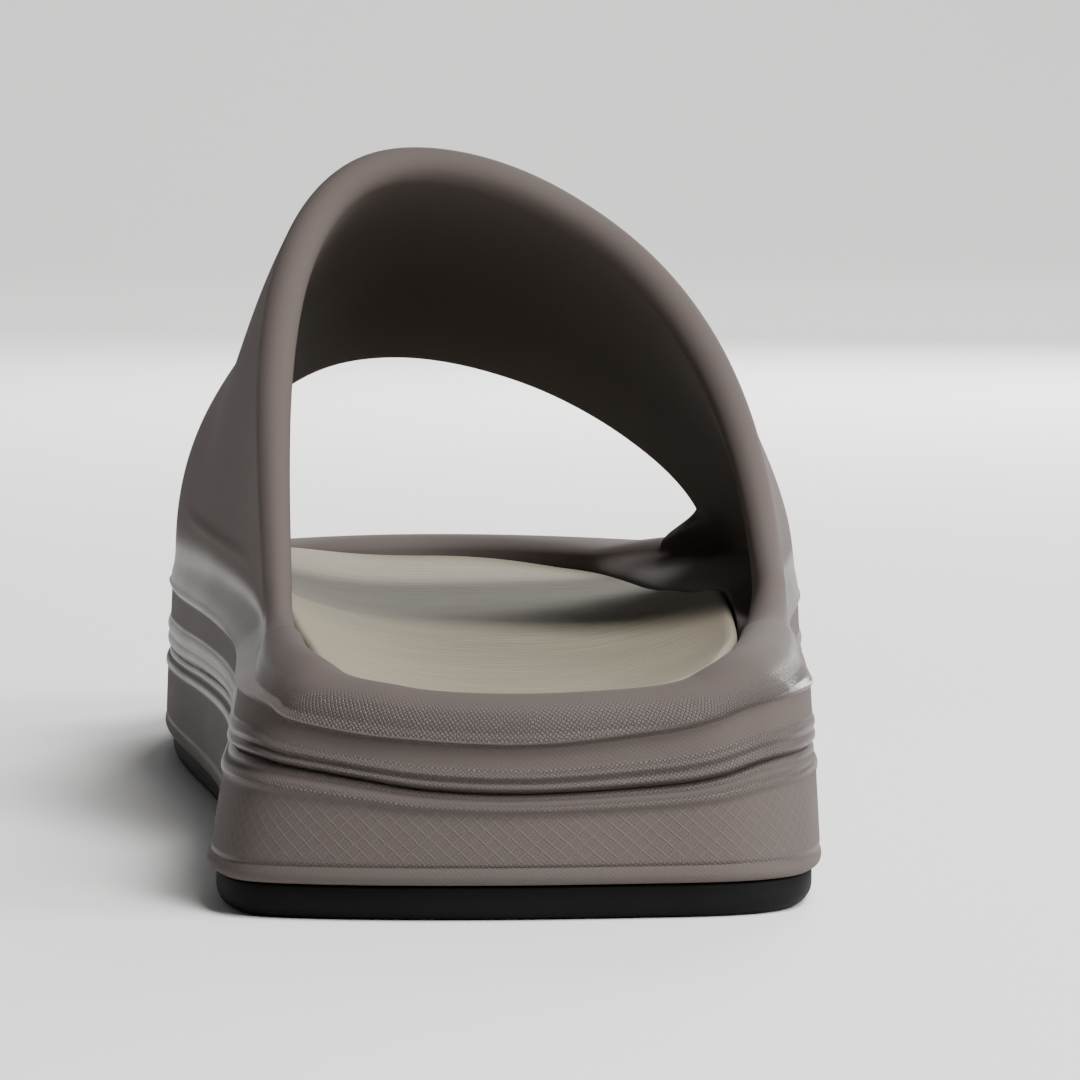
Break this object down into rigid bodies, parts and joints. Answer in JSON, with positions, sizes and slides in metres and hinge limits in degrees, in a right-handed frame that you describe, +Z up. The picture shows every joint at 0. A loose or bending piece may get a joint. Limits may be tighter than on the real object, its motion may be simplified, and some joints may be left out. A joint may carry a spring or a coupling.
{
  "type": "sport slide sandal",
  "caption": "Right-foot slide sandal: moulded foam body with a broad rolled-edge strap, contoured footbed and thin rubber outsole; slips on and stands flat.",
  "frame": {"origin": "Middle of the bounding box, on the floor that the outsole stands on.", "axes": "+Y runs from the heel to the toe, +X points to the outer (lateral) side of the right foot, and +Z points up."},
  "size_m": [0.102, 0.2832, 0.0998],
  "materials": {
    "outsole_rubber": "matte black moulded rubber",
    "body_foam": "taupe-grey moulded foam, satin, with fine moulded grain on the rim and side",
    "footbed_foam": "matte beige-olive foam with fine wavy lines"
  },
  "bodies": {
    "root": {"outsole": "outsole_rubber", "midsole": "body_foam", "upper": "body_foam", "footbed": "footbed_foam"}
  },
  "joints": []
}
